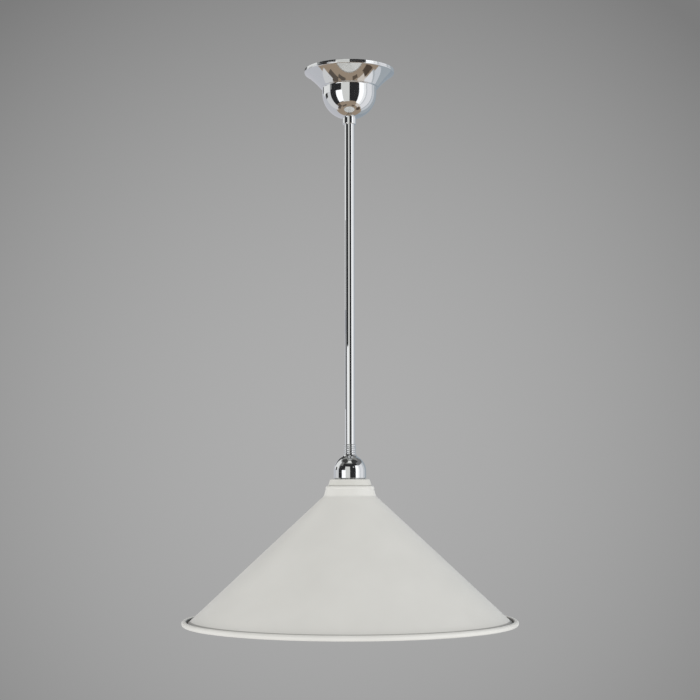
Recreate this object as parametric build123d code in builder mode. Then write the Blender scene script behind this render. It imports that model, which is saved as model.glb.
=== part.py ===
from build123d import *
from math import asin, atan2, cos, hypot, radians, sin, sqrt, tan
import os

# Rod pendant light with a cone shade, hung from a ceiling bracket.
# Millimetres. The origin is the centre of the ceiling plane, +Z is up,
# so every height below is negative.

# Ceiling canopy: a flared cup and a bowl that hangs in it
sheet = 1.0
rim_r = 54.8
rim_height = 4.6
rim_lip = 2.4
rim_round = 0.4
flare_top_r = 53.4
flare_bottom_r = 35.2
seam_z = -21.8
flare_sag = 0.8
bowl_r = 33.0
bowl_side_z = -28.5
bowl_base_z = -58.8
bowl_base_r = 10.6
slide_gap = 0.05

# Rod, the collar that slides on it, and the collar's nut and grub screw
rod_r = 6.0
rod_bore_r = 5.0
rod_top_z = -40.0
rod_bottom_z = -464.0
collar_r = 8.2
collar_bottom_z = -67.4
collar_round = 1.2
collar_spigot_r = 7.2
collar_nut_r = 10.0
grub_r = 1.5
grub_z = -63.0
screw_slot = 0.5
screw_chamfer = 0.25

# Ceiling bracket and the screwed tube through it
strap_length = 64.0
strap_width = 16.0
strap_thick = 2.0
strap_drop = 6.0
strap_step_outer = 18.0
strap_step_inner = 13.0
strap_round = 3.2
slot_spacing = 50.0
slot_length = 9.0
slot_r = 2.25
tube_thread_r = 5.0
tube_bore_r = 3.5
tube_end = 0.8
nut_across_flats = 14.0
nut_thick = 3.0
nut_chamfer = 0.3

# Swivel: two forks at right angles, joined by a cross
pivot_z = -22.5
fork_disc_r = 8.0
fork_chamfer = 0.4
ear_inner = 4.6
ear_outer = 7.6
ear_half_width = 3.6
pin_r = 1.5
pin_gap = 0.05
cross_half = 4.3
upper_disc_top_z = -11.0
upper_disc_z = -16.0
lower_disc_z = -29.0
rod_head_bottom_z = -50.0
rod_pin_z = -42.9
rod_pin_half = 7.0
boss_half_width = 6.0
lead_entry_z = -47.0
lead_slot_length = 7.4
lead_slot_height = 2.8

# Connector block beside the rod head
block_x = 8.2
block_depth = 11.0
block_length = 25.0
block_top_z = -30.5
block_bottom_z = -41.5
block_round = 1.0
way_spacing = 8.0
way_r = 2.1
way_end = 0.8
clamp_r = 1.2
clamp_head = 1.2
clamp_shank_r = 1.0
clamp_shank = 2.2
clamp_zs = (-33.4, -39.0)
fixing_y = 4.0
fixing_z = -36.2
fixing_shank_r = 1.2
fixing_head_r = 1.9
fixing_head = 1.5
fixing_depth = 1.6

# Leads
lead_r = 1.0
lead_spacing = 2.2
lead_top_z = -38.6
lead_bend_r = 2.0
terminal_ring_r = 9.5
terminal_size = 5.0
terminal_height = 5.6
terminal_chamfer = 0.5
terminal_shank_r = 1.5
terminal_depth = 4.0
lead_end_z = -484.4

# Ribbed coupler, dome and lampholder
coupler_r = 7.2
coupler_top_z = -457.7
coupler_bottom_z = -469.7
coupler_round = 0.4
groove_zs = (-459.9, -461.9, -464.7, -467.2)
groove_depth = 0.6
groove_half = 0.35
holder_tube_top_z = -452.0
holder_tube_bottom_z = -480.0
dome_r = 19.4
dome_centre_z = -489.5
dome_bottom_z = -498.4
dome_pad_z = -473.2
dome_boss_r = 7.6
dome_meet_r = 10.0
dome_sag = 0.5
skirt_flange_r = 19.3
skirt_flange_z = -499.3
skirt_top_z = -489.5
skirt_thread_r = 17.9
skirt_bore_r = 16.6
skirt_bottom_z = -533.0
skirt_lip = 1.0
thread_pitch = 2.5
thread_depth = 0.6
thread_crest = 1.0
thread_root_start = 1.4
thread_root_end = 2.1
insulator_top_z = -487.0
insulator_r = 16.5
insulator_head_r = 17.2
insulator_head_z = -497.0
insulator_bottom_z = -527.0
shell_top_z = -499.5
shell_r = 14.1
shell_wall = 0.5
shell_bottom_z = -525.0
shell_hole_r = 7.0
contact_width = 6.0
contact_thick = 0.5
contact_tip_z = -503.0
contact_reach = 6.0

# Shade: a fitter cap, and the cone with its neck and rolled rim
shade_wall = 1.0
fitter_top_r = 24.0
fitter_round = 0.8
fitter_edge_round = 0.2
fitter_bottom_r = 26.0
fitter_bottom_z = -506.8
fitter_seat_r = 25.3
neck_top_r = 27.7
neck_top_z = -507.3
neck_shoulder_r = 29.0
neck_shoulder_z = -510.8
neck_bottom_r = 31.3
neck_bottom_z = -518.7
neck_sag = 0.7
neck_fillet = 5.0
cone_half_angle = 46.98
cone_bend_r = 187.0
cone_bend_fillet = 93.5
bead_r = 3.2
bead_centre_r = 196.8
bead_z = -668.9
shade_hole_gap = 0.3
ring_r = 21.8
ring_height = 6.0
ring_gap = 0.08
ring_grips = 12
ring_grip_r = 0.8
ring_flange = 2.0

# Screw-in lamp
lamp_contact_r = 4.8
lamp_contact_z = -503.2
lamp_contact_round = 0.8
lamp_seat_z = -504.4
lamp_seat_r = 5.8
cap_insulator_r = 9.6
lamp_cap_top_z = -507.6
lamp_cap_shoulder = 3.0
lamp_cap_bottom_z = -528.6
lamp_cap_r = 13.0
lamp_thread_pitch = 3.63
lamp_glass_r = 30.0
lamp_glass_wall = 0.8
lamp_centre_z = -581.0
lamp_neck_r = 12.8
lamp_neck_z = -534.0

# Derived sizes
cone_drop = 1 / tan(radians(cone_half_angle))
shade_hole_r = skirt_thread_r + shade_hole_gap
ring_top_z = skirt_flange_z - shade_wall
strap_top_z = -strap_drop
strap_under_z = strap_top_z - strap_thick
block_face_x = block_x + block_depth
way_x = block_x + block_depth / 2
way_ys = (-way_spacing, 0, way_spacing)
terminal_places = [(0, -terminal_ring_r), (terminal_ring_r, 0), (0, terminal_ring_r)]


def hexagon_nut(top_z, bore_r):
    """A chamfered hexagon nut whose top face is at top_z."""
    with BuildPart() as nut:
        with BuildSketch(Plane.XY.offset(top_z - nut_thick)):
            RegularPolygon(nut_across_flats / 2, 6, major_radius=False)
            Circle(bore_r, mode=Mode.SUBTRACT)
        extrude(amount=nut_thick)
        with BuildSketch(Plane.XY.offset(top_z - nut_thick)):
            Circle(nut_across_flats / sqrt(3))
        extrude(amount=nut_thick, mode=Mode.INTERSECT)
        chamfer(nut.edges().filter_by(GeomType.CIRCLE).sort_by(Edge.radius)[:2], nut_chamfer)
    return nut.part


def cheese_screw(head_r, head_height, shank_r, shank_length):
    """A slotted screw standing on the origin, head up and shank down."""
    with BuildPart() as screw:
        with BuildSketch():
            Circle(head_r)
        extrude(amount=head_height)
        chamfer(screw.edges().sort_by(Axis.Z)[-1], screw_chamfer)
        with BuildSketch():
            Circle(shank_r)
        extrude(amount=-shank_length)
        with BuildSketch(Plane.XY.offset(head_height)):
            Rectangle(head_r * 2, screw_slot)
        extrude(amount=-head_height / 2, mode=Mode.SUBTRACT)
    return screw.part


# Ceiling bracket: a strap with its middle dropped clear of the ceiling
with BuildPart() as ceiling_bracket:
    with BuildSketch(Plane.XZ):
        with BuildLine():
            Polyline(
                (-strap_length / 2, 0),
                (-strap_step_outer, 0),
                (-strap_step_inner, strap_top_z),
                (strap_step_inner, strap_top_z),
                (strap_step_outer, 0),
                (strap_length / 2, 0),
            )
            offset(amount=strap_thick, side=Side.RIGHT)
        make_face()
    extrude(amount=strap_width / 2, both=True)
    corners = ceiling_bracket.edges().filter_by(Axis.Z).group_by(Axis.X)
    fillet(corners[0] + corners[-1], strap_round)
    with BuildSketch():
        with GridLocations(slot_spacing, 0, 2, 1):
            SlotOverall(slot_length, slot_r * 2)
    extrude(amount=-strap_thick, mode=Mode.SUBTRACT)
    with BuildSketch(Plane.XY.offset(strap_top_z)):
        Circle(tube_thread_r)
    extrude(amount=-strap_thick, mode=Mode.SUBTRACT)

# Hollow threaded tube through the strap
with BuildPart() as bracket_tube:
    with BuildSketch(Plane.XY.offset(upper_disc_z)):
        Circle(tube_thread_r)
        Circle(tube_bore_r, mode=Mode.SUBTRACT)
    extrude(amount=strap_top_z + nut_thick + tube_end - upper_disc_z)
    chamfer(bracket_tube.edges().sort_by(Axis.Z)[-1], nut_chamfer)

# The two nuts that clamp the strap
with BuildPart() as bracket_nuts:
    add(hexagon_nut(strap_top_z + nut_thick, tube_thread_r))
    add(hexagon_nut(strap_under_z, tube_thread_r))


# Swivel: the upper fork screws on the tube, its ears hold a pin along X
with BuildPart() as swivel_fork:
    with BuildSketch(Plane.XY.offset(upper_disc_z)):
        Circle(fork_disc_r)
    extrude(amount=upper_disc_top_z - upper_disc_z)
    chamfer(swivel_fork.edges().filter_by(GeomType.CIRCLE), fork_chamfer)
    with BuildSketch(Plane.XY.offset(upper_disc_z)):
        Circle(tube_thread_r)
    extrude(amount=upper_disc_top_z - upper_disc_z, mode=Mode.SUBTRACT)
    with BuildSketch(Plane.YZ.offset(ear_inner), Plane.YZ.offset(-ear_outer)):
        with Locations((0, pivot_z)):
            Circle(ear_half_width)
        with Locations((0, (pivot_z + upper_disc_z) / 2)):
            Rectangle(ear_half_width * 2, upper_disc_z - pivot_z)
        with Locations((0, pivot_z)):
            Circle(pin_r + pin_gap, mode=Mode.SUBTRACT)
    extrude(amount=ear_outer - ear_inner)

# The cross: a block with two pins at right angles
with BuildPart() as swivel_cross:
    with Locations((0, 0, pivot_z)):
        Box(cross_half * 2, cross_half * 2, cross_half * 2)
    chamfer(swivel_cross.edges(), fork_chamfer)
    for pin_axis in (Plane.YZ, Plane.XZ):
        with BuildSketch(pin_axis):
            with Locations((0, pivot_z)):
                Circle(pin_r)
        extrude(amount=ear_outer, both=True)

# Rod head: the lower fork, its ears hold the pin along Y
with BuildPart() as rod_head:
    with BuildSketch(Plane.XY.offset(rod_head_bottom_z)):
        Circle(collar_r)
    extrude(amount=lower_disc_z - rod_head_bottom_z)
    chamfer(rod_head.edges().filter_by(GeomType.CIRCLE), fork_chamfer)
    with BuildSketch(Plane.XZ.offset(ear_inner), Plane.XZ.offset(-ear_outer)):
        with Locations((0, pivot_z)):
            Circle(ear_half_width)
        with Locations((0, (pivot_z + lower_disc_z) / 2)):
            Rectangle(ear_half_width * 2, pivot_z - lower_disc_z)
        with Locations((0, pivot_z)):
            Circle(pin_r + pin_gap, mode=Mode.SUBTRACT)
    extrude(amount=ear_outer - ear_inner)
    with BuildSketch(Plane.YZ):
        with Locations((0, (block_top_z + block_bottom_z) / 2)):
            RectangleRounded(boss_half_width * 2, block_top_z - block_bottom_z, block_round)
    extrude(amount=block_x)
    with BuildSketch(Plane.XY.offset(rod_head_bottom_z)):
        Circle(rod_r)
    extrude(amount=rod_top_z - rod_head_bottom_z, mode=Mode.SUBTRACT)
    with BuildSketch(Plane.YZ):
        with Locations((0, lead_entry_z)):
            SlotOverall(lead_slot_length, lead_slot_height)
    extrude(amount=collar_r, mode=Mode.SUBTRACT)
    with BuildSketch(Plane.YZ.offset(block_x)):
        with Locations((-fixing_y, fixing_z), (fixing_y, fixing_z)):
            Circle(fixing_shank_r)
    extrude(amount=-fixing_depth, mode=Mode.SUBTRACT)
    with BuildSketch(Plane.XZ):
        with Locations((0, rod_pin_z)):
            Circle(pin_r)
    extrude(amount=collar_r, both=True, mode=Mode.SUBTRACT)

# Cross pin through the rod head and the rod
with BuildPart() as rod_head_pin:
    with BuildSketch(Plane.XZ):
        with Locations((0, rod_pin_z)):
            Circle(pin_r)
    extrude(amount=rod_pin_half, both=True)

# Connector block: three ways, each with a brass insert and two clamp screws
with BuildPart() as connector_block:
    with BuildSketch(Plane.YZ.offset(block_x)):
        with Locations((0, (block_top_z + block_bottom_z) / 2)):
            RectangleRounded(block_length, block_top_z - block_bottom_z, block_round)
    extrude(amount=block_depth)
    with BuildSketch(Plane.XY.offset(block_bottom_z)):
        with Locations(*[(way_x, y) for y in way_ys]):
            Circle(way_r)
    extrude(amount=block_top_z - block_bottom_z, mode=Mode.SUBTRACT)
    with BuildSketch(Plane.YZ.offset(block_face_x)):
        with Locations(*[(y, z) for y in way_ys for z in clamp_zs]):
            Circle(clamp_r)
    extrude(amount=way_x - block_face_x, mode=Mode.SUBTRACT)
    with BuildSketch(Plane.YZ.offset(block_face_x)):
        with Locations((-fixing_y, fixing_z), (fixing_y, fixing_z)):
            Circle(fixing_head_r)
    extrude(amount=-block_depth / 2, mode=Mode.SUBTRACT)
    with BuildSketch(Plane.YZ.offset(block_face_x)):
        with Locations((-fixing_y, fixing_z), (fixing_y, fixing_z)):
            Circle(fixing_shank_r)
    extrude(amount=-block_depth, mode=Mode.SUBTRACT)

# The brass inserts in the three ways
with BuildPart() as connector_inserts:
    with BuildSketch(Plane.XY.offset(block_bottom_z + way_end)):
        with Locations(*[(way_x, y) for y in way_ys]):
            Circle(way_r)
            Circle(lead_r, mode=Mode.SUBTRACT)
    extrude(amount=block_top_z - block_bottom_z - way_end * 2)
    with BuildSketch(Plane.YZ.offset(block_face_x)):
        with Locations(*[(y, z) for y in way_ys for z in clamp_zs]):
            Circle(clamp_r)
    extrude(amount=way_x - block_face_x, mode=Mode.SUBTRACT)

# Their clamp screws, which stand in the block along X
with BuildPart() as connector_screws:
    clamp_screw = cheese_screw(clamp_r, clamp_head, clamp_shank_r, clamp_shank)
    clamp_x = way_x + lead_r + clamp_shank
    for y in way_ys:
        for z in clamp_zs:
            add(Location((clamp_x, y, z), (0, 90, 0)) * clamp_screw)

# The two screws that fix the block to the rod head
with BuildPart() as connector_fixing_screws:
    fixing_screw = cheese_screw(fixing_head_r, fixing_head, fixing_shank_r, block_depth / 2 + fixing_depth)
    for y in (-fixing_y, fixing_y):
        add(Location((block_x + block_depth / 2, y, fixing_z), (0, 90, 0)) * fixing_screw)


def lead(block_y, rod_y, terminal_x, terminal_y):
    """A conductor from one way of the block, down the rod, to its terminal."""
    above = lead_entry_z + lead_bend_r + lead_r / 2
    with BuildPart() as wire:
        with BuildLine() as path:
            points = [(way_x, block_y, lead_top_z)]
            if block_y == rod_y:
                points.append((way_x, rod_y, lead_entry_z))
            else:
                points.append((way_x, block_y, above))
                points.append((way_x - lead_bend_r, rod_y, lead_entry_z))
            points.append((0, rod_y, lead_entry_z))
            points.append((0, rod_y, lead_end_z))
            points.append((terminal_x, terminal_y, lead_end_z))
            FilletPolyline(*points, radius=lead_bend_r)
        with BuildSketch(Plane(origin=path.line @ 0, z_dir=path.line % 0)):
            Circle(lead_r)
        sweep(path=path.line)
    return wire.part


# Three conductors, each a plain round wire with its insulation
terminal_face = terminal_ring_r - terminal_size / 2
with BuildPart() as live_lead:
    add(lead(-way_spacing, -lead_spacing, 0, -terminal_face))
with BuildPart() as earth_lead:
    add(lead(0, 0, terminal_face, 0))
with BuildPart() as neutral_lead:
    add(lead(way_spacing, lead_spacing, 0, terminal_face))

# Rod: a plain tube with a slot for the leads and a hole for the cross pin
with BuildPart() as rod:
    with BuildSketch(Plane.XY.offset(rod_bottom_z)):
        Circle(rod_r)
        Circle(rod_bore_r, mode=Mode.SUBTRACT)
    extrude(amount=rod_top_z - rod_bottom_z)
    with BuildSketch(Plane.YZ):
        with Locations((0, lead_entry_z)):
            SlotOverall(lead_slot_length, lead_slot_height)
    extrude(amount=rod_r, mode=Mode.SUBTRACT)
    with BuildSketch(Plane.XZ):
        with Locations((0, rod_pin_z)):
            Circle(pin_r)
    extrude(amount=rod_r, both=True, mode=Mode.SUBTRACT)

# Canopy flare: the upper cup, with a turned rim band above and a flange below
with BuildPart() as canopy_flare:
    with BuildSketch(Plane.XZ):
        with BuildLine():
            Polyline(
                (rim_r - rim_lip, 0),
                (rim_r, 0),
                (rim_r, -rim_height),
                (flare_top_r, -rim_height),
            )
            SagittaArc((flare_top_r, -rim_height), (flare_bottom_r, seam_z), -flare_sag)
            Line((flare_bottom_r, seam_z), (bowl_r, seam_z))
            offset(amount=sheet, side=Side.RIGHT)
        make_face()
    revolve(axis=Axis.Z)
    rim_band = canopy_flare.faces().filter_by(GeomType.CYLINDER).sort_by(Face.radius)[-1]
    fillet(rim_band.edges().filter_by(GeomType.CIRCLE), rim_round)

# Canopy bowl: hangs in the flare by its own flange
with BuildPart() as canopy_bowl:
    with BuildSketch(Plane.XZ):
        with BuildLine():
            Polyline(
                (flare_bottom_r - sheet, seam_z + sheet),
                (bowl_r, seam_z + sheet),
                (bowl_r, bowl_side_z),
            )
            TangentArc((bowl_r, bowl_side_z), (bowl_base_r, bowl_base_z), tangent=(0, -1))
            Line((bowl_base_r, bowl_base_z), (collar_spigot_r, bowl_base_z))
            offset(amount=sheet, side=Side.RIGHT)
        make_face()
    revolve(axis=Axis.Z)

# Collar: slides on the rod, its spigot goes up through the bowl
with BuildPart() as canopy_collar:
    with BuildSketch(Plane.XZ):
        with BuildLine():
            FilletPolyline(
                (rod_r + slide_gap, collar_bottom_z),
                (collar_r, collar_bottom_z),
                (collar_r, bowl_base_z),
                (collar_spigot_r, bowl_base_z),
                (collar_spigot_r, bowl_base_z + sheet + nut_thick),
                (rod_r + slide_gap, bowl_base_z + sheet + nut_thick),
                radius=(0, collar_round, 0, 0, 0, 0),
                close=True,
            )
        make_face()
    revolve(axis=Axis.Z)
    with BuildSketch(Plane.XZ):
        with Locations((0, grub_z)):
            Circle(grub_r)
    extrude(amount=-collar_r, mode=Mode.SUBTRACT)

# Round nut that holds the collar in the bowl
with BuildPart() as collar_nut:
    with BuildSketch(Plane.XY.offset(bowl_base_z + sheet)):
        Circle(collar_nut_r)
        Circle(collar_spigot_r, mode=Mode.SUBTRACT)
    extrude(amount=nut_thick)
    chamfer(collar_nut.edges().filter_by(GeomType.CIRCLE).sort_by(Edge.radius)[-2:], nut_chamfer)
    with BuildSketch(Plane.XY.offset(bowl_base_z + sheet + nut_thick)):
        with PolarLocations(collar_nut_r, 4):
            Circle(grub_r)
    extrude(amount=-nut_thick / 2, mode=Mode.SUBTRACT)

# Grub screw at the back of the collar
with BuildPart() as grub_screw:
    with BuildSketch(Plane.XZ.offset(-rod_r - slide_gap)):
        with Locations((0, grub_z)):
            Circle(grub_r - slide_gap)
    extrude(amount=rod_r + slide_gap - collar_r)
    with BuildSketch(Plane.XZ.offset(-collar_r)):
        with Locations((0, grub_z)):
            Rectangle(grub_r * 2, screw_slot)
    extrude(amount=screw_slot, mode=Mode.SUBTRACT)

# Ribbed coupler: a turned sleeve on the foot of the rod
with BuildPart() as rod_coupler:
    with BuildSketch(Plane.XZ):
        with BuildLine():
            FilletPolyline(
                (rod_r, coupler_top_z),
                (coupler_r, coupler_top_z),
                (coupler_r, coupler_bottom_z),
                (tube_thread_r, coupler_bottom_z),
                (tube_thread_r, rod_bottom_z),
                (rod_r, rod_bottom_z),
                radius=(0, coupler_round, coupler_round, 0, 0, 0),
                close=True,
            )
        make_face()
        with Locations(*[(coupler_r, z) for z in groove_zs]):
            Rectangle(groove_depth * 2, groove_half * 2, mode=Mode.SUBTRACT)
    revolve(axis=Axis.Z)

# Hollow threaded tube from the rod into the dome, and the nut on it
with BuildPart() as holder_tube:
    with BuildSketch(Plane.XY.offset(holder_tube_bottom_z)):
        Circle(tube_thread_r)
        Circle(tube_bore_r, mode=Mode.SUBTRACT)
    extrude(amount=holder_tube_top_z - holder_tube_bottom_z)

with BuildPart() as holder_nut:
    add(hexagon_nut(dome_pad_z, tube_thread_r))

# Dome of the lampholder, with a boss for the coupler and a pad for the nut
dome_inner_r = dome_r - sheet
dome_pad_r = sqrt(dome_inner_r**2 - (dome_pad_z - dome_centre_z) ** 2)
dome_meet_z = dome_centre_z + sqrt(dome_r**2 - dome_meet_r**2)
with BuildPart() as holder_dome:
    with BuildSketch(Plane.XZ):
        with BuildLine():
            Line((tube_thread_r, coupler_bottom_z), (dome_boss_r, coupler_bottom_z))
            SagittaArc((dome_boss_r, coupler_bottom_z), (dome_meet_r, dome_meet_z), dome_sag)
            RadiusArc((dome_meet_r, dome_meet_z), (dome_r, dome_centre_z), dome_r)
            Polyline(
                (dome_r, dome_centre_z),
                (dome_r, dome_bottom_z),
                (dome_inner_r, dome_bottom_z),
                (dome_inner_r, dome_centre_z),
            )
            RadiusArc((dome_inner_r, dome_centre_z), (dome_pad_r, dome_pad_z), -dome_inner_r)
            Polyline(
                (dome_pad_r, dome_pad_z),
                (tube_thread_r, dome_pad_z),
                (tube_thread_r, coupler_bottom_z),
            )
        make_face()
    revolve(axis=Axis.Z)

# Ceramic body of the lampholder: a head with the terminals, and a sleeve
with BuildPart() as holder_insulator:
    with BuildSketch(Plane.XZ):
        with BuildLine():
            Polyline(
                (0, insulator_top_z),
                (insulator_head_r, insulator_top_z),
                (insulator_head_r, insulator_head_z),
                (insulator_r, insulator_head_z),
                (insulator_r, insulator_bottom_z),
                (shell_r, insulator_bottom_z),
                (shell_r, shell_top_z),
                (0, shell_top_z),
                close=True,
            )
        make_face()
    revolve(axis=Axis.Z)
    with BuildSketch(Plane.XY.offset(insulator_top_z)):
        with Locations(*terminal_places):
            Circle(terminal_shank_r)
    extrude(amount=-terminal_depth, mode=Mode.SUBTRACT)

# Brass terminal posts on the insulator, each with a foot in it
with BuildPart() as holder_terminals:
    with BuildSketch(Plane.XY.offset(insulator_top_z)):
        with Locations(*terminal_places):
            Rectangle(terminal_size, terminal_size)
    extrude(amount=terminal_height)
    chamfer(holder_terminals.edges().filter_by(Axis.Z), terminal_chamfer)
    with BuildSketch(Plane.XY.offset(insulator_top_z)):
        with Locations(*terminal_places):
            Circle(terminal_shank_r)
    extrude(amount=-terminal_depth)
    with BuildSketch(Plane.XY.offset(insulator_top_z + terminal_height)):
        with Locations(*terminal_places):
            Circle(fixing_shank_r)
    extrude(amount=-terminal_height / 2, mode=Mode.SUBTRACT)

with BuildPart() as terminal_screws:
    terminal_screw = cheese_screw(fixing_head_r, fixing_head, fixing_shank_r, terminal_height / 2)
    for x, y in terminal_places:
        add(Location((x, y, insulator_top_z + terminal_height)) * terminal_screw)

# Brass screw shell, open below for the lamp
with BuildPart() as screw_shell:
    with BuildSketch(Plane.XZ):
        with BuildLine():
            Polyline(
                (shell_hole_r, shell_top_z),
                (shell_r, shell_top_z),
                (shell_r, shell_bottom_z),
            )
            offset(amount=shell_wall, side=Side.RIGHT)
        make_face()
    revolve(axis=Axis.Z)

# Sprung centre contact, bent down from the ceramic
with BuildPart() as centre_contact:
    with BuildSketch(Plane.XZ):
        with BuildLine():
            Polyline(
                (-contact_reach, shell_top_z),
                (-contact_reach / 2, shell_top_z),
                (0, contact_tip_z + contact_thick),
                (contact_reach / 2, contact_tip_z + contact_thick),
            )
            offset(amount=contact_thick, side=Side.RIGHT)
        make_face()
    extrude(amount=contact_width / 2, both=True)

# Threaded sleeve of the lampholder, with the flange that backs the shade
thread_count = int((skirt_flange_z - skirt_bottom_z - skirt_lip) / thread_pitch)
thread_root_r = skirt_thread_r - thread_depth
with BuildPart() as holder_skirt:
    with BuildSketch(Plane.XZ):
        with BuildLine():
            outline = [
                (insulator_head_r, skirt_top_z),
                (dome_inner_r, skirt_top_z),
                (dome_inner_r, dome_bottom_z),
                (skirt_flange_r, dome_bottom_z),
                (skirt_flange_r, skirt_flange_z),
            ]
            for turn in range(thread_count):
                top_z = skirt_flange_z - turn * thread_pitch
                outline += [
                    (skirt_thread_r, top_z),
                    (skirt_thread_r, top_z - thread_crest),
                    (thread_root_r, top_z - thread_root_start),
                    (thread_root_r, top_z - thread_root_end),
                ]
            outline += [
                (skirt_thread_r, skirt_flange_z - thread_count * thread_pitch),
                (skirt_thread_r, skirt_bottom_z),
                (skirt_bore_r - skirt_lip, skirt_bottom_z),
                (skirt_bore_r - skirt_lip, skirt_bottom_z + skirt_lip),
                (skirt_bore_r, skirt_bottom_z + skirt_lip),
                (skirt_bore_r, insulator_head_z),
                (insulator_head_r, insulator_head_z),
            ]
            Polyline(*outline, close=True)
        make_face()
    revolve(axis=Axis.Z)

# Shade fitter: the pressed cap that the lampholder clamps
with BuildPart() as shade_fitter:
    with BuildSketch(Plane.XZ):
        with BuildLine():
            FilletPolyline(
                (shade_hole_r, skirt_flange_z),
                (fitter_top_r, skirt_flange_z),
                (fitter_bottom_r, fitter_bottom_z),
                (fitter_seat_r, fitter_bottom_z),
                (fitter_seat_r, neck_top_z),
                (fitter_seat_r - shade_wall, neck_top_z),
                (fitter_top_r - shade_wall, ring_top_z),
                (shade_hole_r, ring_top_z),
                radius=(0, fitter_round, fitter_edge_round, 0, 0, 0, 0, 0),
                close=True,
            )
        make_face()
    revolve(axis=Axis.Z)

# Shade: a spun cone with a stepped neck, and a bead rolled round its rim
bend_z = neck_bottom_z - (cone_bend_r - neck_bottom_r) * cone_drop
bead_reach = hypot(bead_centre_r - cone_bend_r, bead_z - bend_z)
roll_r = bead_r - shade_wall
skirt_angle = atan2(bead_z - bend_z, bead_centre_r - cone_bend_r) - asin(roll_r / bead_reach)
edge_length = sqrt(bead_reach**2 - roll_r**2)
shade_edge = (cone_bend_r + edge_length * cos(skirt_angle), bend_z + edge_length * sin(skirt_angle))
with BuildPart() as shade:
    with BuildSketch(Plane.XZ):
        with BuildLine():
            Line((fitter_seat_r - shade_wall * 2, neck_top_z), (neck_top_r, neck_top_z))
            SagittaArc((neck_top_r, neck_top_z), (neck_shoulder_r, neck_shoulder_z), neck_sag)
            FilletPolyline(
                (neck_shoulder_r, neck_shoulder_z),
                (neck_bottom_r, neck_bottom_z),
                (cone_bend_r, bend_z),
                shade_edge,
                radius=(neck_fillet, cone_bend_fillet),
            )
            offset(amount=shade_wall, side=Side.RIGHT)
        make_face()
        with Locations((bead_centre_r, bead_z)):
            Circle(bead_r)
    revolve(axis=Axis.Z)

# Shade ring: runs on the skirt thread and clamps the shade from below
with BuildPart() as shade_ring:
    with BuildSketch(Plane.XY.offset(ring_top_z - ring_height)):
        Circle(ring_r)
        with PolarLocations(ring_r, ring_grips):
            Circle(ring_grip_r, mode=Mode.SUBTRACT)
        Circle(skirt_thread_r + ring_gap, mode=Mode.SUBTRACT)
    extrude(amount=ring_height)
    with BuildSketch(Plane.XY.offset(ring_top_z - ring_flange)):
        Circle(ring_r)
        Circle(ring_r - ring_grip_r * 2, mode=Mode.SUBTRACT)
    extrude(amount=ring_flange)

# Lamp: opal glass, plated screw cap, dark cap insulator and solder contact
neck_arc_r = (
    (lamp_neck_z - lamp_centre_z) ** 2 + lamp_neck_r**2 - lamp_glass_r**2
) / (2 * (lamp_glass_r - lamp_neck_r))
arc_share = lamp_glass_r / (lamp_glass_r + neck_arc_r)
meet_r = (lamp_neck_r + neck_arc_r) * arc_share
meet_z = lamp_centre_z + (lamp_neck_z - lamp_centre_z) * arc_share
with BuildPart() as lamp_glass:
    with BuildSketch(Plane.XZ):
        with BuildLine():
            Line((lamp_neck_r, lamp_cap_bottom_z), (lamp_neck_r, lamp_neck_z))
            RadiusArc((lamp_neck_r, lamp_neck_z), (meet_r, meet_z), -neck_arc_r)
            TangentArc(
                (meet_r, meet_z),
                (0, lamp_centre_z - lamp_glass_r),
                tangent=(meet_z - lamp_centre_z, -meet_r),
            )
            offset(amount=lamp_glass_wall, side=Side.RIGHT)
        make_face()
    revolve(axis=Axis.Z)

cap_turns = int((lamp_cap_top_z - lamp_cap_bottom_z) / lamp_thread_pitch)
cap_inner_r = lamp_neck_r - lamp_glass_wall * 2
cap_root_r = lamp_cap_r - thread_depth
with BuildPart() as lamp_cap:
    with BuildSketch(Plane.XZ):
        with BuildLine():
            Line((cap_inner_r, lamp_cap_bottom_z), (cap_root_r, lamp_cap_bottom_z))
            for turn in range(cap_turns):
                start = (cap_root_r, lamp_cap_bottom_z + turn * lamp_thread_pitch)
                end = (cap_root_r, lamp_cap_bottom_z + (turn + 1) * lamp_thread_pitch)
                SagittaArc(start, end, -thread_depth)
            Polyline(
                end,
                (cap_insulator_r, lamp_cap_top_z),
                (lamp_contact_r, lamp_cap_top_z),
                (lamp_contact_r, lamp_cap_top_z - sheet),
                (cap_inner_r, lamp_cap_top_z - lamp_cap_shoulder),
                (cap_inner_r, lamp_cap_bottom_z),
            )
        make_face()
    revolve(axis=Axis.Z)

with BuildPart() as lamp_cap_insulator:
    with BuildSketch(Plane.XZ):
        with BuildLine():
            Polyline(
                (0, lamp_cap_top_z),
                (cap_insulator_r, lamp_cap_top_z),
                (lamp_seat_r, lamp_seat_z),
                (0, lamp_seat_z),
                close=True,
            )
        make_face()
    revolve(axis=Axis.Z)

with BuildPart() as lamp_contact:
    with BuildSketch(Plane.XY.offset(lamp_seat_z)):
        Circle(lamp_contact_r)
    extrude(amount=lamp_contact_z - lamp_seat_z)
    fillet(lamp_contact.edges().filter_by(GeomType.CIRCLE).sort_by(Axis.Z)[-1], lamp_contact_round)

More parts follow.
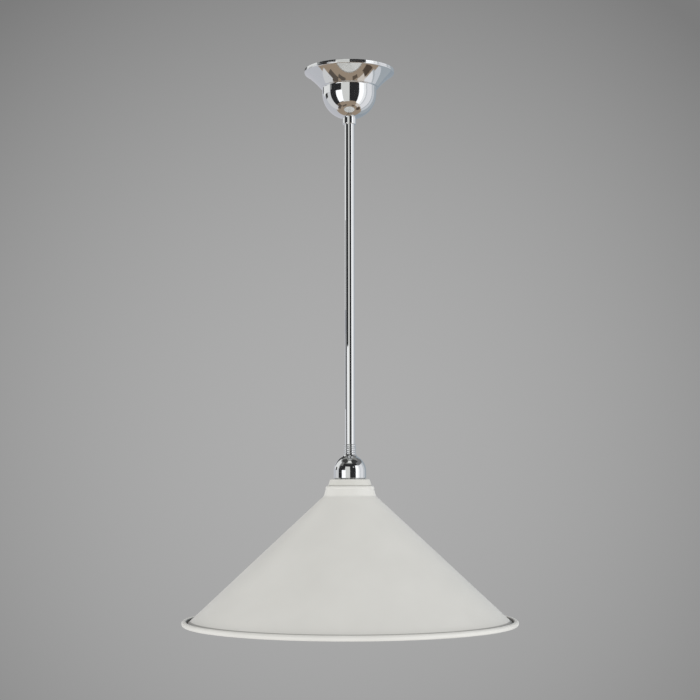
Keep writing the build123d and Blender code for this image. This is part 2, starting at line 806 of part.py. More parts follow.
pieces = {
    "ceiling_bracket": ceiling_bracket,
    "bracket_tube": bracket_tube,
    "bracket_nuts": bracket_nuts,
    "swivel_fork": swivel_fork,
    "swivel_cross": swivel_cross,
    "rod_head": rod_head,
    "rod_head_pin": rod_head_pin,
    "connector_block": connector_block,
    "connector_inserts": connector_inserts,
    "connector_screws": connector_screws,
    "connector_fixing_screws": connector_fixing_screws,
    "live_lead": live_lead,
    "earth_lead": earth_lead,
    "neutral_lead": neutral_lead,
    "rod": rod,
    "canopy_flare": canopy_flare,
    "canopy_bowl": canopy_bowl,
    "canopy_collar": canopy_collar,
    "collar_nut": collar_nut,
    "grub_screw": grub_screw,
    "rod_coupler": rod_coupler,
    "holder_tube": holder_tube,
    "holder_nut": holder_nut,
    "holder_dome": holder_dome,
    "holder_insulator": holder_insulator,
    "holder_terminals": holder_terminals,
    "terminal_screws": terminal_screws,
    "screw_shell": screw_shell,
    "centre_contact": centre_contact,
    "holder_skirt": holder_skirt,
    "shade_fitter": shade_fitter,
    "shade": shade,
    "shade_ring": shade_ring,
    "lamp_glass": lamp_glass,
    "lamp_cap": lamp_cap,
    "lamp_cap_insulator": lamp_cap_insulator,
    "lamp_contact": lamp_contact,
}

os.makedirs("parts", exist_ok=True)
for name, piece in pieces.items():
    piece.part.label = name
    export_step(piece.part, f"parts/{name}.step")
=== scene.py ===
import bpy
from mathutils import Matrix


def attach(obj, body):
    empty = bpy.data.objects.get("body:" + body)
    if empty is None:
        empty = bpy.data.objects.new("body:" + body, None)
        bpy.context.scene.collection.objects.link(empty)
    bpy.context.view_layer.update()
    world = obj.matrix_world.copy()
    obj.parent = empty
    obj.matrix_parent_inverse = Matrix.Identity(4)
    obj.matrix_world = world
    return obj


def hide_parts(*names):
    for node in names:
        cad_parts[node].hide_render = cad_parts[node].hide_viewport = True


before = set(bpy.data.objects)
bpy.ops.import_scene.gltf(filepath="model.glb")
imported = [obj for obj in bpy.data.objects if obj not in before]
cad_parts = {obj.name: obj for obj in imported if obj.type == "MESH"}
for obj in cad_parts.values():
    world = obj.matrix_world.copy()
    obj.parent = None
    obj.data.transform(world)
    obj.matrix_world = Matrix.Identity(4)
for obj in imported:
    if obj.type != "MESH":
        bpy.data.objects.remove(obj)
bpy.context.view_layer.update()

import math

import bmesh
import bpy
from mathutils import Matrix, Vector

# Rod pendant light: a chrome canopy, rod and lampholder over a powder coated cone shade.
# Sizes in the dictionaries are millimetres, apart from the studio's, and meshes are made in metres.
mm = 0.001
fullTurn = 2 * math.pi
scene = bpy.context.scene
scene.view_settings.view_transform = "Standard"


def linear(hexColour):
    # sRGB hex to the linear colour that the nodes take
    parts = [int(hexColour[i : i + 2], 16) / 255 for i in (1, 3, 5)]
    return [p / 12.92 if p <= 0.04045 else ((p + 0.055) / 1.055) ** 2.4 for p in parts] + [1.0]


def addNode(tree, kind, settings=None, sockets=None, stops=None):
    # a socket given as another node's output is linked, and anything else is set as its value;
    # stops are a colour ramp's marks in rising order, each with its linear colour
    node = tree.nodes.new(kind)
    for key, value in (settings or {}).items():
        setattr(node, key, value)
    for key, value in (sockets or {}).items():
        if isinstance(value, bpy.types.NodeSocket):
            tree.links.new(value, node.inputs[key])
        else:
            node.inputs[key].default_value = value
    if stops:
        marks = node.color_ramp.elements
        while len(marks) < len(stops):
            marks.new(1.0)
        for mark, (along, colour) in zip(marks, stops.items()):
            mark.position = along
            mark.color = colour
    return node


def lengthWithin(tree, vector, axes):
    # how long a vector is when only the axes marked 1 count
    kept = addNode(tree, "ShaderNodeVectorMath", {"operation": "MULTIPLY"}, {0: vector, 1: axes}).outputs[0]
    return addNode(tree, "ShaderNodeVectorMath", {"operation": "LENGTH"}, {0: kept}).outputs["Value"]


# Camera: straight in front at the height of the lampholder, looking slightly up
camera = {"lens": 81.0, "sensor": 36.0, "side": 0.36, "distance": 1896.0, "height": -501.5, "pitch": 4.755,
          "roll": -0.088, "nearest": 50.0, "farthest": 60000.0}
cameraData = bpy.data.cameras.new("photoCamera")
cameraData.lens = camera["lens"]
cameraData.sensor_width = camera["sensor"]
cameraData.clip_start = camera["nearest"] * mm
cameraData.clip_end = camera["farthest"] * mm
cameraObject = bpy.data.objects.new("photoCamera", cameraData)
cameraObject.location = (camera["side"] * mm, -camera["distance"] * mm, camera["height"] * mm)
aimed = Matrix.Rotation(math.radians(90 + camera["pitch"]), 3, "X")
cameraObject.rotation_euler = (aimed @ Matrix.Rotation(math.radians(camera["roll"]), 3, "Z")).to_euler()
scene.collection.objects.link(cameraObject)
scene.camera = cameraObject
print("camera placed")


# Materials
def startMaterial(name, **values):
    # a Principled material with its plain values set on the shader's own sockets
    material = bpy.data.materials.new(name)
    material.use_nodes = True
    shader = material.node_tree.nodes["Principled BSDF"]
    for key, value in values.items():
        socket = shader.inputs[key.replace("_", " ")]
        socket.default_value = linear(value) if isinstance(value, str) else value
    addNode(material.node_tree, "ShaderNodeTexCoord", {"name": "place"})
    return material


# a noise mostly lies between least and most, and a finish stretches that over its own low and high
noise = {"least": 0.3, "most": 0.7, "roughness": 0.55}


def vary(material, target, lumpSize, low, high, detail=2.0):
    # soft lumps of a real size, which take a finish's colour, roughness or skin height from low to high
    tree = material.node_tree
    place = tree.nodes["place"].outputs["Object"]
    lumps = addNode(
        tree, "ShaderNodeTexNoise", {},
        {"Vector": place, "Scale": 1 / (lumpSize * mm), "Detail": detail, "Roughness": noise["roughness"]},
    ).outputs["Fac"]
    if target == "Normal":
        sockets = {"Height": lumps, "Distance": (high - low) * mm, "Strength": 1.0}
        varied = addNode(tree, "ShaderNodeBump", {}, sockets)
    elif target == "Base Color":
        stops = {noise["least"]: linear(low), noise["most"]: linear(high)}
        varied = addNode(tree, "ShaderNodeValToRGB", {}, {"Fac": lumps}, stops)
    else:
        ends = {"From Min": noise["least"], "From Max": noise["most"], "To Min": low, "To Max": high}
        varied = addNode(tree, "ShaderNodeMapRange", {}, {"Value": lumps, **ends})
    tree.links.new(varied.outputs[0], tree.nodes["Principled BSDF"].inputs[target])


# Polished nickel and chrome plate over spun brass: a cool sharp mirror, hardly waved by the thin sheet
chromePlate = startMaterial("polishedChromePlate", Base_Color="#e6e8ea", Metallic=1.0, Roughness=0.04)
vary(chromePlate, "Roughness", 9.0, 0.025, 0.075, detail=4.0)
vary(chromePlate, "Normal", 14.0, 0, 0.002, detail=1.0)

# The same plate on drawn tube: thicker and straighter than the spun sheet, so a cleaner mirror
chromeTube = startMaterial("drawnChromeTube", Base_Color="#e6e8ea", Metallic=1.0, Roughness=0.015)
vary(chromeTube, "Roughness", 20.0, 0.008, 0.022)


def powderPaint(name, darker, lighter):
    # Polyester powder coat, satin, sprayed over steel: soft sheen with a fine orange peel
    material = startMaterial(name, Base_Color=lighter, Roughness=0.42, IOR=1.5)
    vary(material, "Base Color", 60.0, darker, lighter)
    vary(material, "Roughness", 4.0, 0.38, 0.48)
    vary(material, "Normal", 1.6, 0, 0.012, detail=1.0)
    return material


powderCoat = powderPaint("satinPowderCoat", "#cdccc7", "#d1d0cb")
# the small cap gets a darker copy of the same coat, painted shade that makes it come out a shade duller
shadedCapCoat = powderPaint("satinPowderCoatCapShaded", "#c4c3bd", "#c8c7c1")

# Zinc plated steel: bright grey with a cool cast, dulled unevenly by handling
zincPlate = startMaterial("zincPlatedSteel", Base_Color="#b9bdc1", Metallic=1.0, Roughness=0.36)
vary(zincPlate, "Base Color", 3.0, "#aeb2b6", "#c6c9cc", detail=4.0)
vary(zincPlate, "Roughness", 1.5, 0.28, 0.46, detail=3.0)
vary(zincPlate, "Normal", 0.5, 0, 0.008)

# Glazed steatite porcelain: warm white under a clear glassy skin
porcelain = startMaterial(
    "glazedPorcelain", Base_Color="#ebe6dc", Roughness=0.16, IOR=1.52, Coat_Weight=0.6, Coat_Roughness=0.06
)
vary(porcelain, "Base Color", 6.0, "#e6e0d4", "#f0ece3", detail=3.0)
vary(porcelain, "Normal", 2.5, 0, 0.02)

# Stamped and turned brass: yellow, slightly dulled
brass = startMaterial("bareBrass", Base_Color="#d8b06a", Metallic=1.0, Roughness=0.3)
vary(brass, "Base Color", 2.0, "#c99f58", "#e0bd7c", detail=4.0)
vary(brass, "Roughness", 1.0, 0.22, 0.4)

# Moulded polyamide of the connector block: milky white with a fine spark eroded grain
blockNylon = startMaterial(
    "mouldedPolyamide", Base_Color="#e4e3dc", Roughness=0.48, IOR=1.53, Subsurface_Weight=0.12,
    Subsurface_Scale=0.002, Subsurface_Radius=(1.0, 1.0, 1.0),
)
vary(blockNylon, "Normal", 0.5, 0, 0.02)


def wireCover(name, colour):
    # Extruded PVC wire insulation: even colour, a dull shine and faint drag marks
    material = startMaterial(name, Base_Color=colour, Roughness=0.4, IOR=1.54)
    vary(material, "Roughness", 1.0, 0.34, 0.5)
    vary(material, "Normal", 0.7, 0, 0.006)
    return material


brownCover = wireCover("brownPvcCover", "#5c3623")
blueCover = wireCover("bluePvcCover", "#2b62a6")
# the earth wire has a yellow stripe along its +Y side, which its whole route keeps
earthWire = {"green": "#3c8a3f", "yellow": "#e3cf3a", "stripeFromY": 0.3}
earthCover = wireCover("greenYellowPvcCover", earthWire["green"])
tree = earthCover.node_tree
place = tree.nodes["place"].outputs["Object"]
sideways = addNode(tree, "ShaderNodeSeparateXYZ", {}, {"Vector": place}).outputs["Y"]
striped = addNode(
    tree, "ShaderNodeMath", {"operation": "GREATER_THAN"}, {0: sideways, 1: earthWire["stripeFromY"] * mm}
).outputs["Value"]
twoColours = addNode(
    tree, "ShaderNodeMix", {"data_type": "RGBA"},
    {"Factor": striped, 6: linear(earthWire["green"]), 7: linear(earthWire["yellow"])},
).outputs[2]
tree.links.new(twoColours, tree.nodes["Principled BSDF"].inputs["Base Color"])

# Opal glass: white through its thickness, with a fire polished skin
opalGlass = startMaterial(
    "opalGlass", Base_Color="#f2f0ea", Roughness=0.12, IOR=1.5, Subsurface_Weight=0.35,
    Subsurface_Scale=0.004, Subsurface_Radius=(1.0, 1.0, 1.0), Coat_Weight=0.3, Coat_Roughness=0.05,
)
vary(opalGlass, "Normal", 12.0, 0, 0.015)

# Nickel plated lamp cap: warm grey metal, rolled thin
lampMetal = startMaterial("nickelPlatedCap", Base_Color="#c8c4ba", Metallic=1.0, Roughness=0.24)
vary(lampMetal, "Roughness", 2.0, 0.18, 0.34, detail=3.0)

# Vitrite: the near black glass round the lamp's end contact
capGlass = startMaterial("vitriteGlass", Base_Color="#17141a", Roughness=0.14, IOR=1.6)
vary(capGlass, "Base Color", 1.5, "#121015", "#211c26")

slotMaterials = {
    "chrome_plate": chromePlate,
    "shade_paint": powderCoat,
    "zinc_steel": zincPlate,
    "porcelain": porcelain,
    "brass": brass,
    "connector_plastic": blockNylon,
    "brown_insulation": brownCover,
    "blue_insulation": blueCover,
    "green_insulation": earthCover,
    "opal_glass": opalGlass,
    "lamp_metal": lampMetal,
    "cap_glass": capGlass,
}
nodeSlots = {}
for name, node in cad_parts.items():
    nodeSlots[name] = node.data.materials[0].name
    node.data.materials[0] = slotMaterials[nodeSlots[name]]
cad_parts["rod"].data.materials[0] = chromeTube
print("materials made for", len(nodeSlots), "nodes")

# Turned pieces: a half section is drawn in the XZ plane and spun about Z.
# The steps say how finely arcs, corners and edges are made, and points merge at these distances in metres.
turning = {"arcDegrees": 6, "arcSteps": 4, "cornerSteps": 5, "edgeSteps": 2, "sharpAngle": 40,
           "mergeSection": 1e-7, "mergePiece": 1e-6}


def drawSection(bm, start, moves):
    # a move goes straight to (r, z), or with a rise on an arc whose middle stands that far left of the line
    last = bm.verts.new((start[0] * mm, 0, start[1] * mm))
    corners = []
    for move in moves:
        end = Vector((move["to"][0] * mm, 0, move["to"][1] * mm))
        rise = move.get("rise", 0) * mm
        if rise:
            chord = end - last.co
            left = Vector((-chord.z, 0, chord.x)).normalized()
            radius = (chord.length_squared / 4 + rise**2) / (2 * abs(rise))
            side = math.copysign(1, rise)
            centre = (end + last.co) / 2 + left * (rise - side * radius)
            sweep = 4 * math.atan(2 * abs(rise) / chord.length)
            steps = math.ceil(math.degrees(sweep) / move.get("degrees", turning["arcDegrees"]))
            spun = bmesh.ops.spin(
                bm, geom=[last], cent=centre, axis=(0, side, 0), angle=sweep,
                steps=max(turning["arcSteps"], steps), use_duplicate=False,
            )
            last = [v for v in spun["geom_last"] if isinstance(v, bmesh.types.BMVert)][0]
        else:
            last = bmesh.ops.extrude_vert_indiv(bm, verts=[last])["verts"][0]
            last.co = end
        if move.get("round"):
            corners.append((last, move["round"] * mm))
    for corner, radius in corners:
        first, second = [(edge.other_vert(corner).co - corner.co).normalized() for edge in corner.link_edges]
        turn = math.pi - first.angle(second)
        bmesh.ops.bevel(
            bm, geom=[corner], offset=radius * math.tan(turn / 2), offset_type="OFFSET", affect="VERTICES",
            segments=turning["cornerSteps"], profile=0.5, clamp_overlap=True, material=-1,
        )


def turnPiece(name, start, moves, steps=128, wall=0, wallSide=-1, edgeRound=0.12):
    # spins a half section once round; an open one gets a wall, inwards at -1 and outwards at 1
    bm = bmesh.new()
    drawSection(bm, start, moves)
    bmesh.ops.remove_doubles(bm, verts=bm.verts, dist=turning["mergeSection"])
    bmesh.ops.spin(
        bm, geom=bm.verts[:] + bm.edges[:], cent=(0, 0, 0), axis=(0, 0, 1), angle=fullTurn, steps=steps,
        use_merge=True, use_duplicate=False,
    )
    bmesh.ops.remove_doubles(bm, verts=bm.verts, dist=turning["mergePiece"])
    bmesh.ops.recalc_face_normals(bm, faces=bm.faces)
    mesh = bpy.data.meshes.new(name)
    bm.to_mesh(mesh)
    bm.free()
    mesh.shade_smooth()
    piece = bpy.data.objects.new(name, mesh)
    scene.collection.objects.link(piece)
    if wall:
        shell = piece.modifiers.new("wall", "SOLIDIFY")
        shell.thickness = wall * mm
        shell.offset = wallSide
        shell.use_even_offset = True
    if edgeRound:
        rounding = piece.modifiers.new("edges", "BEVEL")
        rounding.width = edgeRound * mm
        rounding.segments = turning["edgeSteps"]
        rounding.limit_method = "ANGLE"
        rounding.angle_limit = math.radians(turning["sharpAngle"])
    piece.modifiers.new("normals", "WEIGHTED_NORMAL")
    return piece


def arcRise(radius, sweep):
    # how far the middle of an arc stands off its chord
    return radius * (1 - math.cos(sweep / 2))


def standsFor(piece, body, node, material):
    # hands a new piece its body, its finish and the CAD node that it stands for
    piece.data.materials.append(material)
    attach(piece, body)
    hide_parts(node)


def cutThread(piece, radius, topZ, bottomZ, thread):
    # presses a right-hand thread into the turned wall of this radius, running out at both ends
    for vert in piece.data.vertices:
        across, height = math.hypot(vert.co.x, vert.co.y) / mm, vert.co.z / mm
        if abs(across - radius) > thread["wallWithin"] or not bottomZ <= height <= topZ:
            continue
        turned = math.atan2(vert.co.y, vert.co.x) / fullTurn
        wave = 0.5 - 0.5 * math.cos(fullTurn * (height / thread["pitch"] - turned))
        cut = min(1.0, max(0.0, (wave - 0.5 * thread["crest"]) / (1 - thread["crest"])))
        fade = min(1.0, min(topZ - height, height - bottomZ) / thread["runOut"])
        scale = 1 - thread["depth"] * cut * fade / radius
        vert.co.x *= scale
        vert.co.y *= scale


# Canopy: the flared cup under the ceiling, with a turned rim band that has a fine groove round it
flare = {"rimR": 54.8, "rimHeight": 4.6, "lip": 2.4, "rimRound": 0.5, "footRound": 1.3, "grooveZ": -2.5,
         "grooveHalf": 0.22, "grooveDepth": 0.25, "grooveRound": 0.08, "stepR": 53.4, "bottomR": 35.2,
         "seamZ": -21.8, "holeR": 33.2, "sag": 0.8, "sheet": 1.0, "seamRound": 1.2}
flareCup = turnPiece(
    "flareCup",
    (flare["rimR"] - flare["lip"], 0),
    [
        {"to": (flare["rimR"], 0), "round": flare["rimRound"]},
        {"to": (flare["rimR"], flare["grooveZ"] + flare["grooveHalf"]), "round": flare["grooveRound"]},
        {"to": (flare["rimR"] - flare["grooveDepth"], flare["grooveZ"])},
        {"to": (flare["rimR"], flare["grooveZ"] - flare["grooveHalf"]), "round": flare["grooveRound"]},
        {"to": (flare["rimR"], -flare["rimHeight"]), "round": flare["footRound"]},
        {"to": (flare["stepR"], -flare["rimHeight"])},
        {
            "to": (flare["bottomR"], flare["seamZ"]),
            "rise": -flare["sag"],
            "degrees": 1,
            "round": flare["seamRound"],
        },
        {"to": (flare["holeR"], flare["seamZ"])},
    ],
    wall=flare["sheet"],
)
standsFor(flareCup, "canopy", "canopy_flare", chromePlate)

# Canopy: the bowl under the cup, with a small hollow where its side turns out into its flange
bowl = {"flangeR": 34.9, "flangeZ": -21.8, "flangeRound": 1.6, "sideR": 33.0, "sideZ": -28.5, "baseR": 10.6,
        "baseZ": -58.8, "holeR": 7.2, "sheet": 1.0, "baseRound": 1.2}
drop, reach = bowl["sideZ"] - bowl["baseZ"], bowl["sideR"] - bowl["baseR"]
bowlArcR = (drop**2 + reach**2) / (2 * reach)
bowlSweep = math.asin(drop / bowlArcR)
bowlCup = turnPiece(
    "bowlCup",
    (bowl["flangeR"], bowl["flangeZ"]),
    [
        {"to": (bowl["sideR"], bowl["flangeZ"]), "round": bowl["flangeRound"]},
        {"to": (bowl["sideR"], bowl["sideZ"])},
        {
            "to": (bowl["baseR"], bowl["baseZ"]),
            "rise": arcRise(bowlArcR, bowlSweep),
            "degrees": 2,
            "round": bowl["baseRound"],
        },
        {"to": (bowl["holeR"], bowl["baseZ"])},
    ],
    wall=bowl["sheet"],
)
standsFor(bowlCup, "canopy", "canopy_bowl", chromePlate)
print("canopy turned")

# Ribbed sleeve on the foot of the rod: five rounded rings with a narrow groove between them
sleeve = {"r": 7.2, "bore": 6.0, "top": -457.7, "bottom": -469.7, "innerR": 5.0, "innerZ": -464.0,
          "grooves": (-459.9, -461.9, -464.7, -467.2), "half": 0.28, "rise": 0.5, "depth": 0.5}
crestR = sleeve["r"] - sleeve["rise"]
sleeveMoves = [{"to": (crestR, sleeve["top"])}]
for grooveZ in sleeve["grooves"]:
    sleeveMoves += [
        {"to": (crestR, grooveZ + sleeve["half"]), "rise": sleeve["rise"], "degrees": 12},
        {"to": (crestR - sleeve["depth"], grooveZ + sleeve["half"])},
        {"to": (crestR - sleeve["depth"], grooveZ - sleeve["half"])},
        {"to": (crestR, grooveZ - sleeve["half"])},
    ]
sleeveMoves += [
    {"to": (crestR, sleeve["bottom"]), "rise": sleeve["rise"], "degrees": 12},
    {"to": (sleeve["innerR"], sleeve["bottom"])},
    {"to": (sleeve["innerR"], sleeve["innerZ"])},
    {"to": (sleeve["bore"], sleeve["innerZ"])},
    {"to": (sleeve["bore"], sleeve["top"])},
]
ribbedSleeve = turnPiece("ribbedSleeve", (sleeve["bore"], sleeve["top"]), sleeveMoves, steps=96, edgeRound=0)
standsFor(ribbedSleeve, "stem", "rod_coupler", chromePlate)

# Dome of the lampholder, spun with a small boss on top and a rounded foot
dome = {"r": 19.4, "centreZ": -489.5, "bottomZ": -498.4, "topZ": -469.7, "bossR": 7.6, "bossRound": 0.4,
        "meetR": 10.0, "sag": 0.5, "holeR": 5.0, "sheet": 1.0, "footRound": 0.8}
meetZ = dome["centreZ"] + math.sqrt(dome["r"] ** 2 - dome["meetR"] ** 2)
domeSweep = math.asin((meetZ - dome["centreZ"]) / dome["r"])
domeInner = dome["r"] - dome["sheet"]
innerMeetR = math.sqrt(domeInner**2 - (meetZ - dome["sheet"] - dome["centreZ"]) ** 2)
innerSweep = math.acos(innerMeetR / domeInner)
domeCup = turnPiece(
    "domeCup",
    (dome["holeR"], dome["topZ"]),
    [
        {"to": (dome["bossR"], dome["topZ"]), "round": dome["bossRound"]},
        {"to": (dome["meetR"], meetZ), "rise": -dome["sag"], "degrees": 8},
        {"to": (dome["r"], dome["centreZ"]), "rise": arcRise(dome["r"], domeSweep), "degrees": 2},
        {"to": (dome["r"], dome["bottomZ"]), "round": dome["footRound"]},
        {"to": (domeInner, dome["bottomZ"])},
        {"to": (domeInner, dome["centreZ"])},
        {"to": (innerMeetR, meetZ - dome["sheet"]), "rise": -arcRise(domeInner, innerSweep), "degrees": 6},
        {"to": (dome["holeR"], dome["topZ"] - dome["sheet"])},
        {"to": (dome["holeR"], dome["topZ"])},
    ],
    edgeRound=0,
)
standsFor(domeCup, "stem", "holder_dome", chromePlate)

# Skirt of the lampholder: a thin flange under the dome, and the sleeve whose thread carries the shade ring
skirt = {"headR": 17.2, "topZ": -489.5, "domeR": 18.35, "flangeZ": -498.4, "flangeEndZ": -499.3,
         "bulge": 0.35, "threadR": 17.9, "boreR": 16.6, "lipR": 15.6, "lip": 1.0, "bottomZ": -533.0,
         "headEndZ": -497.0, "pitch": 2.5, "depth": 0.6, "crest": 0.4, "runOut": 1.6, "wallWithin": 0.01,
         "rowsPerTurn": 10}
rows = round((skirt["flangeEndZ"] - skirt["bottomZ"]) / skirt["pitch"] * skirt["rowsPerTurn"])
rowStep = (skirt["flangeEndZ"] - skirt["bottomZ"]) / rows
holderSkirt = turnPiece(
    "holderSkirt",
    (skirt["headR"], skirt["topZ"]),
    [
        {"to": (skirt["domeR"], skirt["topZ"])},
        {"to": (skirt["domeR"], skirt["flangeZ"])},
        {"to": (skirt["domeR"], skirt["flangeEndZ"]), "rise": skirt["bulge"], "degrees": 20},
    ]
    + [{"to": (skirt["threadR"], skirt["flangeEndZ"] - row * rowStep)} for row in range(rows + 1)]
    + [
        {"to": (skirt["lipR"], skirt["bottomZ"])},
        {"to": (skirt["lipR"], skirt["bottomZ"] + skirt["lip"])},
        {"to": (skirt["boreR"], skirt["bottomZ"] + skirt["lip"])},
        {"to": (skirt["boreR"], skirt["headEndZ"])},
        {"to": (skirt["headR"], skirt["headEndZ"])},
        {"to": (skirt["headR"], skirt["topZ"])},
    ],
    steps=120,
    edgeRound=0,
)
cutThread(holderSkirt, skirt["threadR"], skirt["flangeEndZ"], skirt["bottomZ"], skirt)
standsFor(holderSkirt, "stem", "holder_skirt", chromePlate)
print("lampholder dome and sleeve turned")

# Fitter: the pressed cap that carries the shade, with a narrow seat under it
fitter = {"holeR": 18.2, "topZ": -499.33, "topR": 24.0, "topRound": 1.0, "bottomR": 26.0, "bottomZ": -507.0,
          "bottomRound": 0.35, "seatR": 25.3, "seatZ": -507.3, "seatRound": 0.15, "innerRound": 0.5,
          "sheet": 1.0}
innerTop = (fitter["topR"] - fitter["sheet"], fitter["topZ"] - fitter["sheet"])
fitterCap = turnPiece(
    "fitterCap",
    (fitter["holeR"], fitter["topZ"]),
    [
        {"to": (fitter["topR"], fitter["topZ"]), "round": fitter["topRound"]},
        {"to": (fitter["bottomR"], fitter["bottomZ"]), "round": fitter["bottomRound"]},
        {"to": (fitter["seatR"], fitter["bottomZ"]), "round": fitter["seatRound"]},
        {"to": (fitter["seatR"], fitter["seatZ"])},
        {"to": (fitter["seatR"] - fitter["sheet"], fitter["seatZ"])},
        {"to": innerTop, "round": fitter["innerRound"]},
        {"to": (fitter["holeR"], innerTop[1])},
        {"to": (fitter["holeR"], fitter["topZ"])},
    ],
    edgeRound=0,
)
standsFor(fitterCap, "shade_body", "shade_fitter", shadedCapCoat)

# Shade: a spun cone with a stepped neck, its edge rolled outwards into a bead
shade = {"holeR": 23.3, "topZ": -507.3, "neckR": 27.7, "neckRound": 0.9, "neckRise": 0.7, "shoulderR": 29.0,
         "shoulderZ": -510.8, "shoulderRound": 0.3, "footR": 31.3, "footZ": -519.2, "footRound": 5.0,
         "halfAngle": 47.08, "bendR": 187.0, "bendRound": 93.5, "beadR": 3.2, "beadCentreR": 196.8,
         "beadZ": -668.9, "wall": 0.99, "rollGap": 0.01, "rollTurn": 296}
bendZ = shade["footZ"] - (shade["bendR"] - shade["footR"]) / math.tan(math.radians(shade["halfAngle"]))
innerRoll = shade["beadR"] - shade["wall"] - shade["rollGap"]
rollSweep = math.radians(shade["rollTurn"])
toBead = Vector((shade["beadCentreR"] - shade["bendR"], shade["beadZ"] - bendZ))
skirtAngle = math.atan2(toBead.y, toBead.x) - math.asin(innerRoll / toBead.length)
edgeRun = math.sqrt(toBead.length_squared - innerRoll**2)
rollStart = (shade["bendR"] + edgeRun * math.cos(skirtAngle), bendZ + edgeRun * math.sin(skirtAngle))
rollEndAngle = skirtAngle - math.pi / 2 + rollSweep
rollEnd = (
    shade["beadCentreR"] + innerRoll * math.cos(rollEndAngle),
    shade["beadZ"] + innerRoll * math.sin(rollEndAngle),
)
coneShade = turnPiece(
    "coneShade",
    (shade["holeR"], shade["topZ"]),
    [
        {"to": (shade["neckR"], shade["topZ"]), "round": shade["neckRound"]},
        {
            "to": (shade["shoulderR"], shade["shoulderZ"]),
            "rise": shade["neckRise"],
            "degrees": 12,
            "round": shade["shoulderRound"],
        },
        {"to": (shade["footR"], shade["footZ"]), "round": shade["footRound"]},
        {"to": (shade["bendR"], bendZ), "round": shade["bendRound"]},
        {"to": rollStart},
        {"to": rollEnd, "rise": -arcRise(innerRoll, rollSweep), "degrees": 9},
    ],
    steps=192,
    wall=shade["wall"],
    wallSide=1,
)
standsFor(coneShade, "shade_body", "shade", powderCoat)

# Crease behind the bead: painted shade, a dark colour laid into the crease and onto the cone's face just
# above it.
# The stops are radii with how much of the painted shade's colour shows, and the cone's underside stays plain.
creaseShade = {"colour": "#3d3832", "shadeShare": {189.0: 0, 189.4: 0.5, 191.6: 0.6, 193.0: 0.96, 194.2: 0.96, 195.4: 0},
          "clearBelow": 0.9, "fullBelow": 0.4}
slope = -math.tan(skirtAngle)
faceLevel = rollStart[1] + rollStart[0] * slope
tree = powderCoat.node_tree
place = tree.nodes["place"].outputs["Object"]
painted = tree.nodes["Principled BSDF"].inputs["Base Color"]
away = lengthWithin(tree, place, (1, 1, 0))
upward = addNode(tree, "ShaderNodeSeparateXYZ", {}, {"Vector": place}).outputs["Z"]
level = addNode(
    tree, "ShaderNodeMath", {"operation": "MULTIPLY_ADD"}, {0: away, 1: slope, 2: upward}
).outputs["Value"]
outside = addNode(
    tree, "ShaderNodeMapRange", {},
    {"Value": level, "From Min": (faceLevel - creaseShade["clearBelow"]) * mm,
     "From Max": (faceLevel - creaseShade["fullBelow"]) * mm},
).outputs["Result"]
firstR, lastR = min(creaseShade["shadeShare"]), max(creaseShade["shadeShare"])
across = addNode(
    tree, "ShaderNodeMapRange", {}, {"Value": away, "From Min": firstR * mm, "From Max": lastR * mm}
).outputs["Result"]
shadeStops = {(r - firstR) / (lastR - firstR): (share, share, share, 1) for r, share in creaseShade["shadeShare"].items()}
shadeShare = addNode(tree, "ShaderNodeValToRGB", {}, {"Fac": across}, shadeStops).outputs["Color"]
creaseShaded = addNode(tree, "ShaderNodeMath", {"operation": "MULTIPLY"}, {0: shadeShare, 1: outside}).outputs["Value"]
# mixes the painted shade's dark colour into the coat's own colour
shadedPaint = addNode(
    tree, "ShaderNodeMix", {"data_type": "RGBA"},
    {"Factor": creaseShaded, 6: painted.links[0].from_socket, 7: linear(creaseShade["colour"])},
).outputs[2]
tree.links.new(shadedPaint, painted)
print("shade and fitter spun")

# Lamp: an opal globe on a straight neck
lamp = {"r": 30.0, "centreZ": -581.0, "neckR": 12.8, "neckZ": -534.0, "endZ": -528.6, "wall": 0.8}
neckRise = lamp["neckZ"] - lamp["centreZ"]
neckArcR = (neckRise**2 + lamp["neckR"] ** 2 - lamp["r"] ** 2) / (2 * (lamp["r"] - lamp["neckR"]))
globeShare = lamp["r"] / (lamp["r"] + neckArcR)
globeR, globeZ = (lamp["neckR"] + neckArcR) * globeShare, lamp["centreZ"] + neckRise * globeShare
neckSweep = math.atan2(lamp["neckZ"] - globeZ, lamp["neckR"] + neckArcR - globeR)
globeSweep = math.pi / 2 + math.atan2(globeZ - lamp["centreZ"], globeR)
globeLamp = turnPiece(
    "globeLamp",
    (lamp["neckR"], lamp["endZ"]),
    [
        {"to": (lamp["neckR"], lamp["neckZ"])},
        {"to": (globeR, globeZ), "rise": -arcRise(neckArcR, neckSweep)},
        {"to": (0, lamp["centreZ"] - lamp["r"]), "rise": arcRise(lamp["r"], globeSweep), "degrees": 4},
    ],
    steps=96,
    wall=lamp["wall"],
    edgeRound=0,
)
standsFor(globeLamp, "lamp", "lamp_glass", opalGlass)
print("lamp blown")


# Stage: a pale floor, and the studio that the chrome mirrors. Its sizes are metres.
def stagePiece(name, bm, material):
    # a piece of the studio, which isn't part of the light
    mesh = bpy.data.meshes.new(name)
    bm.to_mesh(mesh)
    bm.free()
    piece = bpy.data.objects.new(name, mesh)
    piece.data.materials.append(material)
    scene.collection.objects.link(piece)
    return piece


